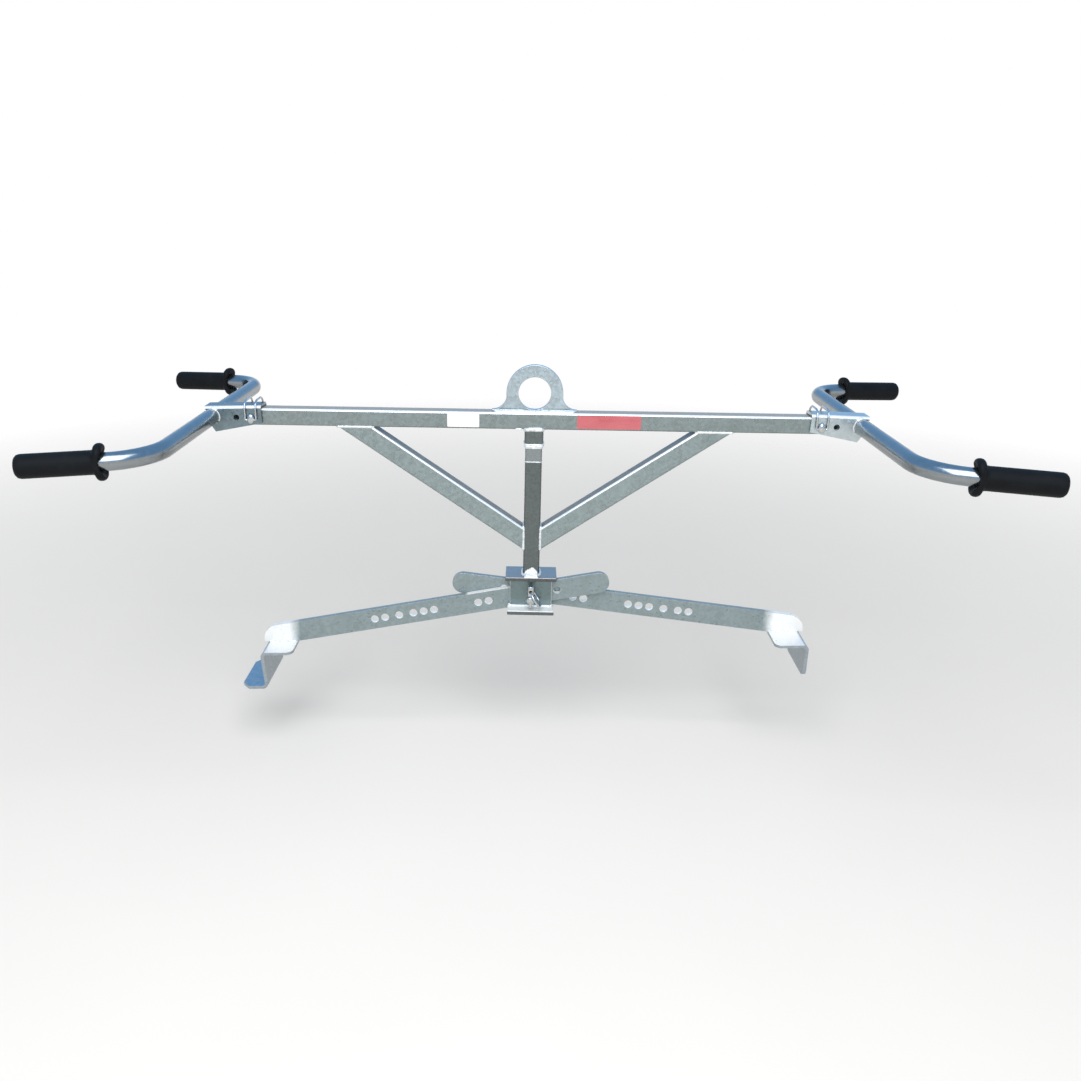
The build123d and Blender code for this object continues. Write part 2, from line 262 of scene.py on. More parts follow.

# Tubes: painted highlights along the rounded corners and painted shade on the tops. A folded look counts
# both sides of the middle as one.
# pale colour along the rounded corners: a painted highlight
cornerHighlightLook = dict(folded=True, bright=highlightPale, dull=0.40, cornerWidth=(0.0027, 0.0037))
# beam top face: a flat grey without metal sheen, a painted shade
beamTopShade = dict(
    axis=upward, bright=(0.29, 0.285, 0.25), brightFrom=(-0.0323, -0.0317), ragged=0.0004, dull=0.0,
)
beamLook = dict(tubeLook, **cornerHighlightLook, corners=[((0.0, 0.015, 0.0315), (1.0, 0.0, 0.0))], top=beamTopShade)
# brace top faces: a dark grey, a painted shade
braceTopShade = dict(
    beamTopShade, folded=True, axis=(-0.5630, 0.0, -0.8265), bright=(0.125, 0.132, 0.120),
    brightFrom=(-0.2112, -0.2106),
)
braceLook = dict(
    tubeLook, **cornerHighlightLook, mid=(0.295, 0.350, 0.350), spread=0.15,
    corners=[((0.015, 0.015, 0.2443), (0.8265, 0.0, -0.5630))], top=braceTopShade,
)
# sleeve and post: darker than the beam, a painted shade; the post above z -121 mm is lighter, a painted
# highlight
sleeveLook = dict(tubeLook, mid=(0.150, 0.172, 0.168), spread=0.12)
postLook = dict(
    sleeveLook, mid=(0.138, 0.158, 0.154), axis=upward, bright=(0.27, 0.30, 0.30),
    brightFrom=(-0.1216, -0.1200), ragged=0.0008, dull=0.95,
)

# Plates: painted highlights on the tops of jaws and feet, along the folds of the brackets and at the ends of
# the arms; painted shade on several plates
# the eye is painted lighter and the cheeks darker than the other plates: painted light and painted shade
eyeLook = dict(plateLook, mid=(0.43, 0.50, 0.525), spread=0.15)
cheekLook = dict(plateLook, mid=(0.175, 0.225, 0.225), spread=0.12)
# jaw shelf top: near-white, a painted highlight
jawLook = dict(
    plateLook, mid=(0.37, 0.42, 0.45), spread=0.13, axis=(-0.0401, 0.0, 0.9992), bright=glareWhite,
    brightFrom=(-0.4672, -0.4665), ragged=0.0004, dull=0.30,
)
# pale colour along each bracket's fold: a painted highlight
foldHighlightLook = dict(
    cornerHighlightLook, cornerWidth=(0.0038, 0.0052),
    corners=[((0.4961, 0.0196, 0.0262), (0.99957, 0.0, 0.02925))],
)
# the left bracket is painted darker and the right one lighter: painted shade and painted light on
# mirror-image parts
leftBracketLook = dict(plateLook, **foldHighlightLook, mid=(0.195, 0.25, 0.27), spread=0.13)
rightBracketLook = dict(plateLook, **foldHighlightLook, mid=(0.53, 0.59, 0.60), spread=0.11)
# feet: a dark front, a painted shade, and a pale top, a painted highlight
footLook = dict(
    plateLook, mid=(0.115, 0.130, 0.130), metal=0.40, rough=(0.38, 0.52),
    axis=upward, bright=highlightPale, brightFrom=(-0.3990, -0.3982), ragged=0.0006, dull=0.30,
)
# head plate: dark sides, a painted shade, and a lighter top, a painted highlight
headLook = dict(
    plateLook, mid=(0.115, 0.128, 0.126),
    axis=upward, bright=(0.47, 0.40, 0.36), brightFrom=(-0.3376, -0.3368), ragged=0.0004, dull=0.95,
)
# arms: near-white at both ends and round each hole, painted highlights
armLook = dict(
    plateLook, mid=(0.250, 0.310, 0.322), spread=0.13, metal=0.30, folded=True,
    axis=(1.0, 0.0, 0.0), bright=glareWhite, brightFrom=(0.444, 0.464), ragged=0.010, dull=0.25,
    holeEdge=(0.0073, 0.0077),
)
# near-white top edge on one stretch of the left arm: a painted highlight
leftArmTopHighlight = dict(
    axis=(-0.19423, 0.0, 0.98096), bright=glareWhite, brightFrom=(-0.3500, -0.3494), ragged=0.0004,
    dull=0.25, stretch=(-0.122, -0.032, 0.006),
)
# hole centres for the painted highlight round each hole
armHoles = dict(
    slope=dict(left=11.2, right=6.6), along=(-50, 80, 100, 185, 205, 225, 252.5, 280, 300),
)


def holeSpots(side, hand):
    slope = math.radians(armHoles["slope"][hand])
    return [
        (side * d * math.cos(slope) * mm, 0.0, (pivotZ - d * math.sin(slope)) * mm)
        for d in armHoles["along"]
    ]


galvanisedBeam = zincSkin("galvanisedBeam", beamLook)
galvanisedBrace = zincSkin("galvanisedBrace", braceLook)
galvanisedPost = zincSkin("galvanisedPost", postLook)
galvanisedSleeve = zincSkin("galvanisedSleeve", sleeveLook)
galvanisedEye = zincSkin("galvanisedEye", eyeLook)
galvanisedCheek = zincSkin("galvanisedCheek", cheekLook)
galvanisedFoot = zincSkin("galvanisedFoot", footLook)
galvanisedHead = zincSkin("galvanisedHead", headLook)
galvanisedLeftArm = zincSkin(
    "galvanisedLeftArm", dict(armLook, holes=holeSpots(-1, "left"), top=leftArmTopHighlight)
)
galvanisedRightArm = zincSkin("galvanisedRightArm", dict(armLook, holes=holeSpots(1, "right")))
galvanisedJaw = zincSkin("galvanisedJaw", jawLook)
galvanisedLeftBracket = zincSkin("galvanisedLeftBracket", leftBracketLook)
galvanisedRightBracket = zincSkin("galvanisedRightBracket", rightBracketLook)
galvanisedRound = zincSkin("galvanisedRound", roundLook)
platedPin = zincSkin("platedPin", pinLook)
weldZinc = zincSkin("weldZinc", beadLook)
rubbedEdge = zincSkin("rubbedEdge", edgeLook)

gripLook = dict(
    tones=((0.004, 0.0048, 0.0058), (0.008, 0.0092, 0.0105), (0.016, 0.0165, 0.0175)),
    toneStops=(0.3, 0.62, 0.85), cloud=0.030, cloudNoise=(4.0, 0.65), cloudRange=(0.3, 0.7),
    pebble=0.0011, fine=0.00066, fineNoise=(3.0, 0.6), fineShare=0.6, rough=(0.46, 0.64), gloss=0.11,
    bump=0.20, depth=0.0002,
)


def rubberSkin(name, look):
    mat, tree, shader, coord = newSkin(name)
    pebble = crystals(tree, coord, 1 / look["pebble"])[0]
    cloud = noise(tree, coord, 1 / look["cloud"], *look["cloudNoise"])
    fine = noise(tree, coord, 1 / look["fine"], *look["fineNoise"])
    colour = tinted(tree, cloud, list(zip(look["toneStops"], look["tones"])))
    tree.links.new(colour, shader.inputs["Base Color"])
    tree.links.new(ranged(tree, cloud, *look["rough"], *look["cloudRange"]), shader.inputs["Roughness"])
    shader.inputs["Specular IOR Level"].default_value = look["gloss"]
    bumped(tree, shader, blendOf(tree, pebble, fine, look["fineShare"]), look["bump"], look["depth"])
    return mat


gripRubber = rubberSkin("gripRubber", gripLook)

filmLook = dict(
    white=((0.88, 0.885, 0.885), (0.93, 0.935, 0.935), (0.96, 0.96, 0.96)),
    red=((0.50, 0.110, 0.125), (0.58, 0.145, 0.165), (0.64, 0.180, 0.200)),
    toneStops=(0.28, 0.45, 0.75), smear=0.012, smearNoise=(4.0, 0.6), smearStretch=(0.35, 1, 1),
    smearRange=(0.3, 0.7), fineScale=900, fineNoise=(2.0, 0.5), rough=(0.28, 0.44), bump=0.05,
    depth=0.0002,
)


def filmSkin(name, tones, look):
    mat, tree, shader, coord = newSkin(name)
    pulled = stretched(tree, coord, look["smearStretch"])
    smear = noise(tree, pulled, 1 / look["smear"], *look["smearNoise"])
    fine = noise(tree, coord, look["fineScale"], *look["fineNoise"])
    colour = tinted(tree, smear, list(zip(look["toneStops"], tones)))
    tree.links.new(colour, shader.inputs["Base Color"])
    tree.links.new(ranged(tree, smear, *look["rough"], *look["smearRange"]), shader.inputs["Roughness"])
    bumped(tree, shader, fine, look["bump"], look["depth"])
    return mat


whiteFilm = filmSkin("whiteFilm", filmLook["white"], filmLook)
redFilm = filmSkin("redFilm", filmLook["red"], filmLook)
print("materials made")


# CAD nodes keep their meshes. Weld and Bevel give the plates their softened, rubbed edges,
# the tubes have their rounded corners already.

nodeFinish = dict(
    tube=[("cross_beam", galvanisedBeam), ("centre_post", galvanisedPost), ("post_socket", galvanisedSleeve),
          ("left_brace", galvanisedBrace), ("right_brace", galvanisedBrace)],
    plate=[("lifting_eye", galvanisedEye), ("head_plate", galvanisedHead), ("front_cheek", galvanisedCheek),
           ("rear_cheek", galvanisedCheek), ("front_foot", galvanisedFoot), ("rear_foot", galvanisedFoot),
           ("left_arm", galvanisedLeftArm), ("right_arm", galvanisedRightArm), ("left_jaw", galvanisedJaw),
           ("right_jaw", galvanisedJaw), ("left_bracket", galvanisedLeftBracket),
           ("right_bracket", galvanisedRightBracket)],
    pin=["pivot_pin", "linch_pin", "linch_ring", "left_lock_pin", "right_lock_pin",
         "left_bail", "right_bail"],
    ownEdge=["head_plate", "front_foot", "rear_foot"],
    weld=0.00002, edge=0.0009, footEdge=0.0012, segments=3, sharpFrom=38.0, evenWeight=60,
)


def softenEdges(obj, width):
    weld = obj.modifiers.new("joinTriangles", "WELD")
    weld.merge_threshold = nodeFinish["weld"]
    bevel = obj.modifiers.new("softEdges", "BEVEL")
    bevel.limit_method = "ANGLE"
    bevel.angle_limit = math.radians(nodeFinish["sharpFrom"])
    bevel.width = width
    bevel.segments = nodeFinish["segments"]
    bevel.material = 1  # the second skin of the node
    even = obj.modifiers.new("evenShade", "WEIGHTED_NORMAL")
    even.weight = nodeFinish["evenWeight"]


def dressNode(name, *skins):
    nodes[name].data.materials.clear()
    for skin in skins:
        nodes[name].data.materials.append(skin)


for name, skin in nodeFinish["tube"]:
    dressNode(name, skin)
for name, skin in nodeFinish["plate"]:
    dressNode(name, skin, skin if name in nodeFinish["ownEdge"] else rubbedEdge)
    softenEdges(nodes[name], nodeFinish["footEdge" if name.endswith("foot") else "edge"])
for name in nodeFinish["pin"]:
    dressNode(name, platedPin)
print("CAD nodes dressed")


# Helpers for new pieces

def finishPiece(name, bm, skins, body, smooth=True):
    mesh = bpy.data.meshes.new(name)
    for face in bm.faces:
        face.smooth = smooth
    bm.to_mesh(mesh)
    bm.free()
    obj = bpy.data.objects.new(name, mesh)
    bpy.context.scene.collection.objects.link(obj)
    for skin in skins:
        mesh.materials.append(skin)
    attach(obj, body)
    return obj


def flipSide(bm, side):
    # a left-hand piece is the right-hand one mirrored across X
    if side < 0:
        bmesh.ops.scale(bm, vec=(-1, 1, 1), verts=bm.verts)
    bmesh.ops.recalc_face_normals(bm, faces=bm.faces)


def newVerts(geom):
    return [v for v in geom if isinstance(v, bmesh.types.BMVert)]


def openEdges(geom):
    return [e for e in geom if isinstance(e, bmesh.types.BMEdge) and len(e.link_faces) == 1]


def pointedAlong(spot, heading):
    # stands at a spot in mm with its Z along the heading
    return Matrix.Translation(spot * mm) @ heading.to_track_quat("Z", "Y").to_matrix().to_4x4()


def spunProfile(bm, points, centre, axis, around):
    chain = [bm.verts.new(point) for point in points]
    edges = [bm.edges.new(pair) for pair in zip(chain, chain[1:])]
    bmesh.ops.spin(
        bm, geom=chain + edges, cent=centre, axis=axis, angle=math.tau,
        steps=around, use_merge=True, use_duplicate=False,
    )
    bmesh.ops.remove_doubles(bm, verts=bm.verts, dist=joinGap)


# Handle tubes. One smooth bent tube on each side stands for the straight middle and its two legs.

handle = dict(
    x=565.5, z=-44.4, radius=14.0, half=299.5, bend=78.5, splay=10.5, leg=181.1,
    droop=1.676, around=48, bendSteps=26,
)


def droopTurn():
    # the handle sets hang a little on their lock pins
    place = Matrix.Translation((lockX * mm, 0, lockZ * mm))
    return place @ Matrix.Rotation(math.radians(handle["droop"]), 4, "Y") @ place.inverted()


def pushRing(bm, ring, offset):
    grown = bmesh.ops.extrude_edge_only(bm, edges=ring)["geom"]
    bmesh.ops.translate(bm, vec=offset, verts=newVerts(grown))
    return openEdges(grown)


def swingRing(bm, ring, centre, angle, steps):
    grown = bmesh.ops.spin(
        bm, geom=ring, cent=centre, axis=(0, 0, 1), angle=angle, steps=steps, use_duplicate=False
    )["geom_last"]
    return [e for e in grown if isinstance(e, bmesh.types.BMEdge)]


def makeHandle(side, name, cadNodes):
    splay = math.radians(handle["splay"])
    turn = math.pi / 2 - splay
    run = handle["bend"] * math.tan(turn / 2)
    outward = Vector((math.cos(splay), -math.sin(splay), 0))
    corner = Vector((handle["x"], -handle["half"], handle["z"]))
    tip = corner + outward * handle["leg"]
    centre = corner + Vector((handle["bend"], run, 0))
    bm = bmesh.new()
    bmesh.ops.create_circle(
        bm, segments=handle["around"], radius=handle["radius"] * mm, matrix=pointedAlong(tip, outward)
    )
    ring = pushRing(bm, bm.edges[:], -outward * (handle["leg"] - run) * mm)
    ring = swingRing(bm, ring, centre * mm, -turn, handle["bendSteps"])
    ring = pushRing(bm, ring, Vector((0, 2 * (handle["half"] - run) * mm, 0)))
    centre.y = -centre.y
    ring = swingRing(bm, ring, centre * mm, -turn, handle["bendSteps"])
    outward.y = -outward.y
    pushRing(bm, ring, outward * (handle["leg"] - run) * mm)
    bmesh.ops.remove_doubles(bm, verts=bm.verts, dist=joinGap)
    bmesh.ops.holes_fill(bm, edges=[e for e in bm.edges if e.is_boundary], sides=0)
    bmesh.ops.transform(bm, matrix=droopTurn(), verts=bm.verts)
    flipSide(bm, side)
    piece = finishPiece(name, bm, [galvanisedRound], "frame")
    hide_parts(*cadNodes)


for side, hand in hands:
    makeHandle(side, hand + "Handle", [hand + "_handle_tube", hand + "_front_leg", hand + "_rear_leg"])
print("handle tubes made")


# Grips. Spun from one profile, closed end at z = 0, with a flange at the open end that stands up
# above and below the tube and dies away at its sides.

grip = dict(
    leg=186.5, around=64, body=18.3, flangeFrom=-106.0, sideEnd=-116.5, sidePower=4, flatGap=0.00005,
    profile=[
        (0.0, -1.6), (2.2, -1.6), (3.0, -0.5), (4.2, 0.0), (11.2, 0.0), (14.6, -0.9), (17.1, -3.4),
        (18.1, -7.0), (18.25, -12.0), (18.25, -58.0), (18.25, -104.0), (18.6, -107.0), (19.7, -109.4),
        (21.6, -110.6), (23.6, -111.0), (25.6, -111.9), (27.2, -113.8), (27.9, -116.2), (27.9, -118.8),
        (27.2, -121.2), (25.6, -123.1), (23.4, -124.0), (21.0, -123.5), (18.6, -121.8), (16.4, -119.6),
        (14.5, -118.3), (14.1, -117.6), (14.1, -5.2), (0.0, -5.2),
    ],
)


def makeGrip(side, end, name, cadNode):
    splay = math.radians(handle["splay"])
    outward = Vector((math.cos(splay), end * math.sin(splay), 0))
    tip = Vector((handle["x"], end * handle["half"], handle["z"])) + outward * grip["leg"]
    bm = bmesh.new()
    points = [(r * mm, 0, z * mm) for r, z in grip["profile"]]
    spunProfile(bm, points, (0, 0, 0), (0, 0, 1), grip["around"])
    for v in bm.verts:
        if v.co.z > grip["flangeFrom"] * mm:
            continue
        wide = math.hypot(v.co.x, v.co.y) / mm
        sideways = (v.co.x / (wide * mm)) ** grip["sidePower"]
        slim = 1 - sideways * max(0.0, wide - grip["body"]) / wide
        v.co.x, v.co.y = v.co.x * slim, v.co.y * slim
        v.co.z += sideways * max(0.0, grip["sideEnd"] * mm - v.co.z)
    bmesh.ops.remove_doubles(bm, verts=bm.verts, dist=grip["flatGap"])
    bmesh.ops.transform(bm, matrix=droopTurn() @ pointedAlong(tip, outward), verts=bm.verts)
    flipSide(bm, side)
    piece = finishPiece(name, bm, [gripRubber], "frame")
    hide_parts(cadNode)


for side, hand in hands:
    for end, where in ((-1, "front"), (1, "rear")):
        makeGrip(side, end, hand + where.title() + "Grip", hand + "_" + where + "_grip")
print("grips made")


# Lock pins with domed heads, and the domed nose of the pivot pin. All are spun about Y.

lockPin = dict(
    headY=-23.4, headZ=-48.5, headSize=(6.5, 3.7, 8.5), headRows=20, around=32,
    profile=[(0.0, 22.6), (3.0, 22.6), (4.4, 22.0), (5.0, 20.6), (5.0, -21.0), (0.0, -21.0)],
)
pivotNose = dict(
    around=40,
    profile=[(0.0, -44.8), (3.0, -44.5), (5.2, -43.8), (6.6, -42.8), (7.03, -41.6), (0.0, -41.6)],
)


def spinAboutY(bm, profile, x, z, around):
    points = [((x + r) * mm, y * mm, z * mm) for r, y in profile]
    spunProfile(bm, points, (x * mm, 0, z * mm), (0, 1, 0), around)


def makeLockPin(side, name, cadNode):
    bm = bmesh.new()
    spinAboutY(bm, lockPin["profile"], lockX, lockZ, lockPin["around"])
    centre = Matrix.Translation((lockX * mm, lockPin["headY"] * mm, lockPin["headZ"] * mm))
    bmesh.ops.create_uvsphere(
        bm, u_segments=lockPin["around"], v_segments=lockPin["headRows"], radius=mm,
        matrix=centre @ Matrix.Diagonal((*lockPin["headSize"], 1)),
    )
    flipSide(bm, side)
    piece = finishPiece(name, bm, [platedPin], "frame")
    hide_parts(cadNode)


def makePivotNose():
    bm = bmesh.new()
    spinAboutY(bm, pivotNose["profile"], 0.0, pivotZ, pivotNose["around"])
    flipSide(bm, 1)
    finishPiece("pivotNose", bm, [platedPin], "frame")


for side, hand in hands:
    makeLockPin(side, hand + "LockPin", hand + "_lock_pin")
makePivotNose()
print("pins made")


# Weld beads. A ring is pushed along each seam in small steps and swells at every ripple.

beadStyle = dict(
    step=0.6, ripple=2.4, swell=0.07, wander=0.09, around=10, taper=(0.45, 0.28), seedStep=1.7,
    drifts=[(1.0, 0.31, 2.7), (0.6, 0.83, 1.0)], cornerSteps=4, overlap=2,
)


def evenSteps(points, step):
    # the seam's corner points, walked at one even pace
    spots = [Vector(points[0])]
    for a, b in zip(points, points[1:]):
        a, b = Vector(a), Vector(b)
        count = max(1, round((b - a).length / step))
        spots += [a.lerp(b, i / count) for i in range(1, count + 1)]
    return spots


def beadSize(radius, i, last, travel, seed):
    wave = math.cos(math.tau * travel / beadStyle["ripple"] + seed)
    drift = sum(share * math.sin(travel * pace + seed * lead) for share, pace, lead in beadStyle["drifts"])
    start, gain = beadStyle["taper"]
    taper = min(1.0, start + gain * i, start + gain * (last - i))
    return radius * taper * (1 + beadStyle["swell"] * wave + beadStyle["wander"] * drift)


def layBead(bm, points, radius, seed=0.0):
    spots = evenSteps(points, beadStyle["step"])
    last = len(spots) - 1
    travel, size, where, heading, ring = 0.0, None, None, None, None
    for i, spot in enumerate(spots):
        ahead = (spots[min(i + 1, last)] - spots[max(i - 1, 0)]).normalized()
        if i:
            travel += (spot - where).length
        grown = beadSize(radius, i, last, travel, seed)
        if ring is None:
            made = bmesh.ops.create_circle(
                bm, segments=beadStyle["around"], radius=grown * mm, cap_ends=True,
                matrix=pointedAlong(spot, ahead),
            )
            ring = list({e for v in made["verts"] for e in v.link_edges})
        else:
            out = bmesh.ops.extrude_edge_only(bm, edges=ring)["geom"]
            ring = openEdges(out)
            turn = heading.rotation_difference(ahead).to_matrix().to_4x4()
            move = Matrix.Translation(spot * mm) @ turn @ Matrix.Scale(grown / size, 4)
            bmesh.ops.transform(bm, matrix=move @ Matrix.Translation(-where * mm), verts=newVerts(out))
        size, where, heading = grown, spot, ahead
    bmesh.ops.contextual_create(bm, geom=ring)


def beadPiece(name, seams, body, turn=None, side=1):
    bm = bmesh.new()
    for k, (points, radius) in enumerate(seams):
        layBead(bm, points, radius, beadStyle["seedStep"] * k)
    if turn:
        bmesh.ops.transform(bm, matrix=turn, verts=bm.verts)
    flipSide(bm, side)
    finishPiece(name, bm, [weldZinc], body)


def rowSeam(left, right, y, z, radius):
    return [(left, y, z), (right, y, z)], radius


def ringSeam(half, corner, z, radius):
    # once round a square tube, a little past the start
    steps = beadStyle["cornerSteps"]
    spots = []
    for quarter, (sx, sy) in enumerate([(1, 1), (-1, 1), (-1, -1), (1, -1), (1, 1)]):
        for k in range(steps + 1 if quarter < 4 else beadStyle["overlap"]):
            angle = math.radians(90 * (quarter + k / steps))
            x = sx * (half - corner) + corner * math.cos(angle)
            y = sy * (half - corner) + corner * math.sin(angle)
            spots.append((x, y, z))
    return spots, radius


eyeWeld = dict(z=-31.4, rows=[(71.0, 5.4, 3.3), (68.5, 8.9, 2.7), (66.0, 11.6, 1.7)])
beadPiece("eyeWeld", [
    rowSeam(-reach, reach, side * y, eyeWeld["z"], radius)
    for reach, y, radius in eyeWeld["rows"] for side in (-1, 1)
], "frame")

# the post: round the sleeve's top and rim, a fine seam below, and many passes at the front of its foot,
# built up to the size of a bright reflection there, so partly a painted highlight
postWeld = dict(
    sleeveTop=(16.4, 5.6, -61.8, 3.0),
    sleeveFront=(
        [(-14.5, -16.2, -61.2), (-4.0, -16.6, -60.2), (6.0, -16.4, -59.4), (14.5, -16.0, -60.6)], 3.0,
    ),
    tack=([(-33.0, -14.2, -61.0), (-21.0, -14.6, -60.8)], 1.9),
    rings=[(15.8, 4.8, -88.7, 2.4), (15.4, 4.4, -91.7, 2.2), (15.0, 4.0, -94.3, 1.7),
           (14.7, 3.8, -120.0, 1.0), (15.2, 4.2, -336.2, 3.2)],
    footRows=[
        (-1.0, 5.0, -14.8, -322.2, 1.3), (-4.0, 7.0, -14.9, -324.3, 1.5), (-8.0, 9.5, -15.0, -326.6, 1.6),
        (-11.2, 11.2, -15.2, -328.9, 1.7), (-12.0, 12.0, -15.9, -331.4, 2.7),
        (-12.4, 12.4, -17.2, -333.9, 3.5), (-11.6, 11.6, -19.4, -335.2, 3.6),
        (-12.0, 12.0, -21.8, -335.9, 3.0), (-12.8, 12.8, -24.6, -336.2, 2.4),
        (-13.2, 13.2, -26.6, -336.4, 1.5),
    ],
)
beadPiece("postWeld", [
    ringSeam(*postWeld["sleeveTop"]), postWeld["sleeveFront"], postWeld["tack"],
    *[ringSeam(*ring) for ring in postWeld["rings"]],
    *[rowSeam(*row) for row in postWeld["footRows"]],
], "frame")

# each end of a brace: its two corners in X and Z, and how much fatter the bead is across each
braceWeld = dict(
    face=13.8, radius=2.4,
    ends=[((283.4, -61.7), (345.6, -61.7), 0.6, 0.0), ((15.2, -286.7), (15.2, -244.3), 0.0, 0.4)],
)


def braceSeams():
    face, radius = braceWeld["face"], braceWeld["radius"]
    seams = []
    for (px, pz), (qx, qz), pMore, qMore in braceWeld["ends"]:
        seams += [([(px, y, pz), (qx, y, qz)], radius) for y in (-face, face)]
        seams += [([(px, -face, pz), (px, face, pz)], radius + pMore)]
        seams += [([(qx, -face, qz), (qx, face, qz)], radius + qMore)]
    return seams


for side, hand in hands:
    beadPiece(hand + "BraceWeld", braceSeams(), "frame", side=side)

headWeld = dict(
    reach=37.0, face=17.3, heights=(-343.7, -397.3), radius=2.4,
    blob=([(-39.9, -16.6, -395.6), (-39.9, -14.8, -395.6)], 3.4),
)
beadPiece("headWeld", [
    rowSeam(-headWeld["reach"], headWeld["reach"], side * headWeld["face"], z, headWeld["radius"])
    for side in (-1, 1) for z in headWeld["heights"]
] + [headWeld["blob"]], "frame")

footFillet = dict(reach=38.9, face=17.2, top=-397.5, out=4.0, rise=2.6, steps=8)


def makeFootFillet():
    # the hollow round between each cheek and the top of its foot
    spec = footFillet
    bm = bmesh.new()
    for side in (-1, 1):
        spots = [(spec["face"], spec["top"])]
        for k in range(spec["steps"] + 1):
            angle = math.radians(270 - 90 * k / spec["steps"])
            out, rise = spec["out"] * (1 + math.cos(angle)), spec["rise"] * (1 + math.sin(angle))
            spots.append((spec["face"] + out, spec["top"] + rise))
        end = bm.faces.new([bm.verts.new((-spec["reach"] * mm, side * y * mm, z * mm)) for y, z in spots])
        grown = bmesh.ops.extrude_face_region(bm, geom=[end], use_keep_orig=True)["geom"]
        bmesh.ops.translate(bm, vec=(2 * spec["reach"] * mm, 0, 0), verts=newVerts(grown))
    bmesh.ops.recalc_face_normals(bm, faces=bm.faces)
    finishPiece("footFillet", bm, [galvanisedFoot], "frame", smooth=False)


makeFootFillet()

bracketWeld = dict(
    face=19.5, ring=14.7, arcs=[(96.0, 140.0, 2.8), (136.0, 215.0, 1.3)], steps=9,
    lipX=576.1, lipZ=-31.4, lipReach=15.0, radius=2.4,
)


def bracketSeams():
    # arcs round the handle tube on both cheeks, and one seam across under the lip
    spec = bracketWeld
    seams = []
    for first, last, radius in spec["arcs"]:
        turns = [math.radians(first + (last - first) * k / spec["steps"]) for k in range(spec["steps"] + 1)]
        arc = [
            (handle["x"] + spec["ring"] * math.cos(a), handle["z"] + spec["ring"] * math.sin(a))
            for a in turns
        ]
        for face in (-spec["face"], spec["face"]):
            seams.append(([(x, face, z) for x, z in arc], radius))
    x, reach, z = spec["lipX"], spec["lipReach"], spec["lipZ"]
    seams.append(([(x, -reach, z), (x, reach, z)], spec["radius"]))
    return seams


for side, hand in hands:
    beadPiece(hand + "BracketWeld", bracketSeams(), "frame", turn=droopTurn(), side=side)

tongWeld = dict(
    near=451.0, far=503.0, shelf=-90.4, sides=(0.4, 10.4), radius=2.4, tilt=2.3,
)
tongSeams = [
    rowSeam(tongWeld["near"], tongWeld["far"], y, tongWeld["shelf"], tongWeld["radius"])
    for y in tongWeld["sides"]
]
pivot = Matrix.Translation((0, 0, pivotZ * mm))
tilt = math.radians(tongWeld["tilt"])
rightTurn = pivot @ Matrix.Rotation(-tilt, 4, "Y")
leftTurn = pivot @ Matrix.Rotation(math.pi, 4, "Z") @ Matrix.Rotation(tilt, 4, "Y")
beadPiece("rightTongWeld", tongSeams, "right_tong", turn=rightTurn)
beadPiece("leftTongWeld", tongSeams, "left_tong", turn=leftTurn)
print("weld beads laid")


# Blank film labels on the front of the beam, wrapped a little over its rounded edges

labels = dict(
    white=dict(left=-152.0, right=-96.0, skins=[whiteFilm, whiteFilm], slot="label_white"),
    red=dict(left=74.5, right=185.5, skins=[redFilm, whiteFilm], slot="label_red"),
    face=-15.0, mid=-46.5, height=24.0, thick=0.2, corner=1.8, cornerSteps=5, border=1.3,
    tubeHalf=15.0, tubeCorner=4.0,
)


def makeLabel(name, spec):
    bm = bmesh.new()
    bmesh.ops.create_grid(bm, x_segments=1, y_segments=1, size=0.5)
    bmesh.ops.scale(bm, vec=((spec["right"] - spec["left"]) * mm, labels["height"] * mm, 1), verts=bm.verts)
    bmesh.ops.bevel(
        bm, geom=bm.verts[:], offset=labels["corner"] * mm, affect="VERTICES",
        segments=labels["cornerSteps"], profile=0.5, material=-1,
    )
    rim = bmesh.ops.inset_region(
        bm, faces=bm.faces[:], thickness=labels["border"] * mm, use_even_offset=True
    )
    for face in rim["faces"]:
        face.material_index = 1
    bmesh.ops.rotate(bm, cent=(0, 0, 0), matrix=Matrix.Rotation(math.pi / 2, 3, "X"), verts=bm.verts)
    middle = Vector(((spec["left"] + spec["right"]) / 2, labels["face"], labels["mid"]))
    bmesh.ops.translate(bm, vec=middle * mm, verts=bm.verts)
    tubeRound = labels["tubeCorner"]
    for v in bm.verts:
        # the film follows the start of the tube's rounded corner
        past = max(0.0, abs(v.co.z / mm - labels["mid"]) - (labels["tubeHalf"] - tubeRound))
        v.co.y += (tubeRound - math.sqrt(tubeRound ** 2 - past * past)) * mm
    piece = finishPiece(name, bm, spec["skins"], "frame", smooth=False)
    film = piece.modifiers.new("filmThickness", "SOLIDIFY")
    film.thickness = labels["thick"] * mm
    film.offset = 1.0


makeLabel("whiteLabel", labels["white"])
makeLabel("redLabel", labels["red"])
print("labels placed")


# Stage: pale floor, one soft lamp, white surroundings, camera at the photograph's angle

stage = dict(
    floorZ=-0.70, size=4.0, around=96, floor=(0.93, 0.93, 0.925), shade=0.985, rough=0.9,
    speckScale=3.0, speckNoise=(3.0, 0.5), speckStops=(0.3, 0.7), fadeFrom=1.0, fadeTo=3.4,
)


